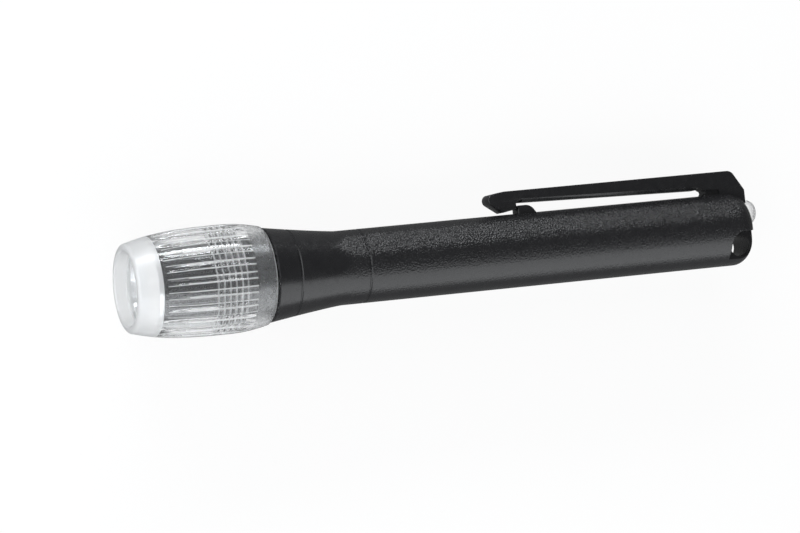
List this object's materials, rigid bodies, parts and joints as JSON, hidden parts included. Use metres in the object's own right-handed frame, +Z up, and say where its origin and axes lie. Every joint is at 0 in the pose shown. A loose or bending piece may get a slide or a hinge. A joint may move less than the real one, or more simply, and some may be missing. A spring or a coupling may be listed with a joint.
{
  "type": "penlight",
  "caption": "Slim black penlight with a clear fluted twist bezel, a flared barrel, a long moulded pocket clip, an off-centre tail button and a lanyard hole.",
  "frame": {"origin": "bottom centre of the box around the penlight lying on its side, axis level", "axes": "+X along the pen from lens to tail, +Y towards the pocket clip, +Z up"},
  "size_m": [0.1376, 0.0232, 0.0219],
  "materials": {
    "black_plastic": "finely grained, satin",
    "clear_plastic": "clear, polished",
    "seal_rubber": "matt",
    "reflector_metal": "bright metallised",
    "emitter": "clear dome over yellow phosphor",
    "board": "lacquered",
    "coil": "ferrite",
    "inner_plastic": "moulded",
    "contact_brass": "stamped",
    "cell_steel": "nickel plated",
    "cell_jacket": "printed sleeve, plain",
    "spring_steel": "drawn wire",
    "white_plastic": "moulded",
    "button_silicone": "translucent, soft"
  },
  "bodies": {
    "barrel": {"barrel": "black_plastic", "contact_strip": "contact_brass", "seal_ring": "seal_rubber", "cell_spring": "spring_steel", "tail_terminal": "contact_brass", "switch_housing": "inner_plastic", "contact_ring": "contact_brass", "return_spring": "spring_steel"},
    "lamp_train": {"reflector": "reflector_metal", "led_emitter": "emitter", "lamp_board": "board", "boost_coil": "coil", "lamp_holder": "inner_plastic", "centre_contact": "contact_brass", "side_contact": "contact_brass", "front_cell": "cell_steel", "front_jacket": "cell_jacket", "rear_cell": "cell_steel", "rear_jacket": "cell_jacket"},
    "bezel": {"lens_bezel": "clear_plastic"},
    "button": {"tail_button": "button_silicone", "switch_plunger": "white_plastic", "contact_bridge": "contact_brass"},
    "clip": {"pocket_clip": "black_plastic"}
  },
  "joints": [
    {"name": "lamp_travel", "type": "slide", "parent": "barrel", "child": "lamp_train", "axis": [-1, 0, 0], "range_m": [0, 0.004], "deforming": ["cell_spring"]},
    {"name": "bezel_turn", "type": "hinge", "parent": "lamp_train", "child": "bezel", "pos_m": [-0.055, -0.00063, 0.01095], "axis": [-1, 0, 0], "range_deg": [0, 1152]},
    {"name": "button_press", "type": "slide", "parent": "barrel", "child": "button", "axis": [-1, 0, 0], "range_m": [0, 0.00115], "stiffness_N_per_m": 1800, "springref_m": -0.0005, "deforming": ["return_spring"]},
    {"name": "clip_flex", "type": "hinge", "parent": "barrel", "child": "clip", "pos_m": [0.05899, 0.00983, 0.01095], "axis": [0, 0, -1], "range_deg": [0, 4], "stiffness_Nm_per_rad": 1.15}
  ],
  "couplings": [
    {"joint": "bezel_turn", "follows": "lamp_travel", "rad_per_m": 5026.5}
  ]
}
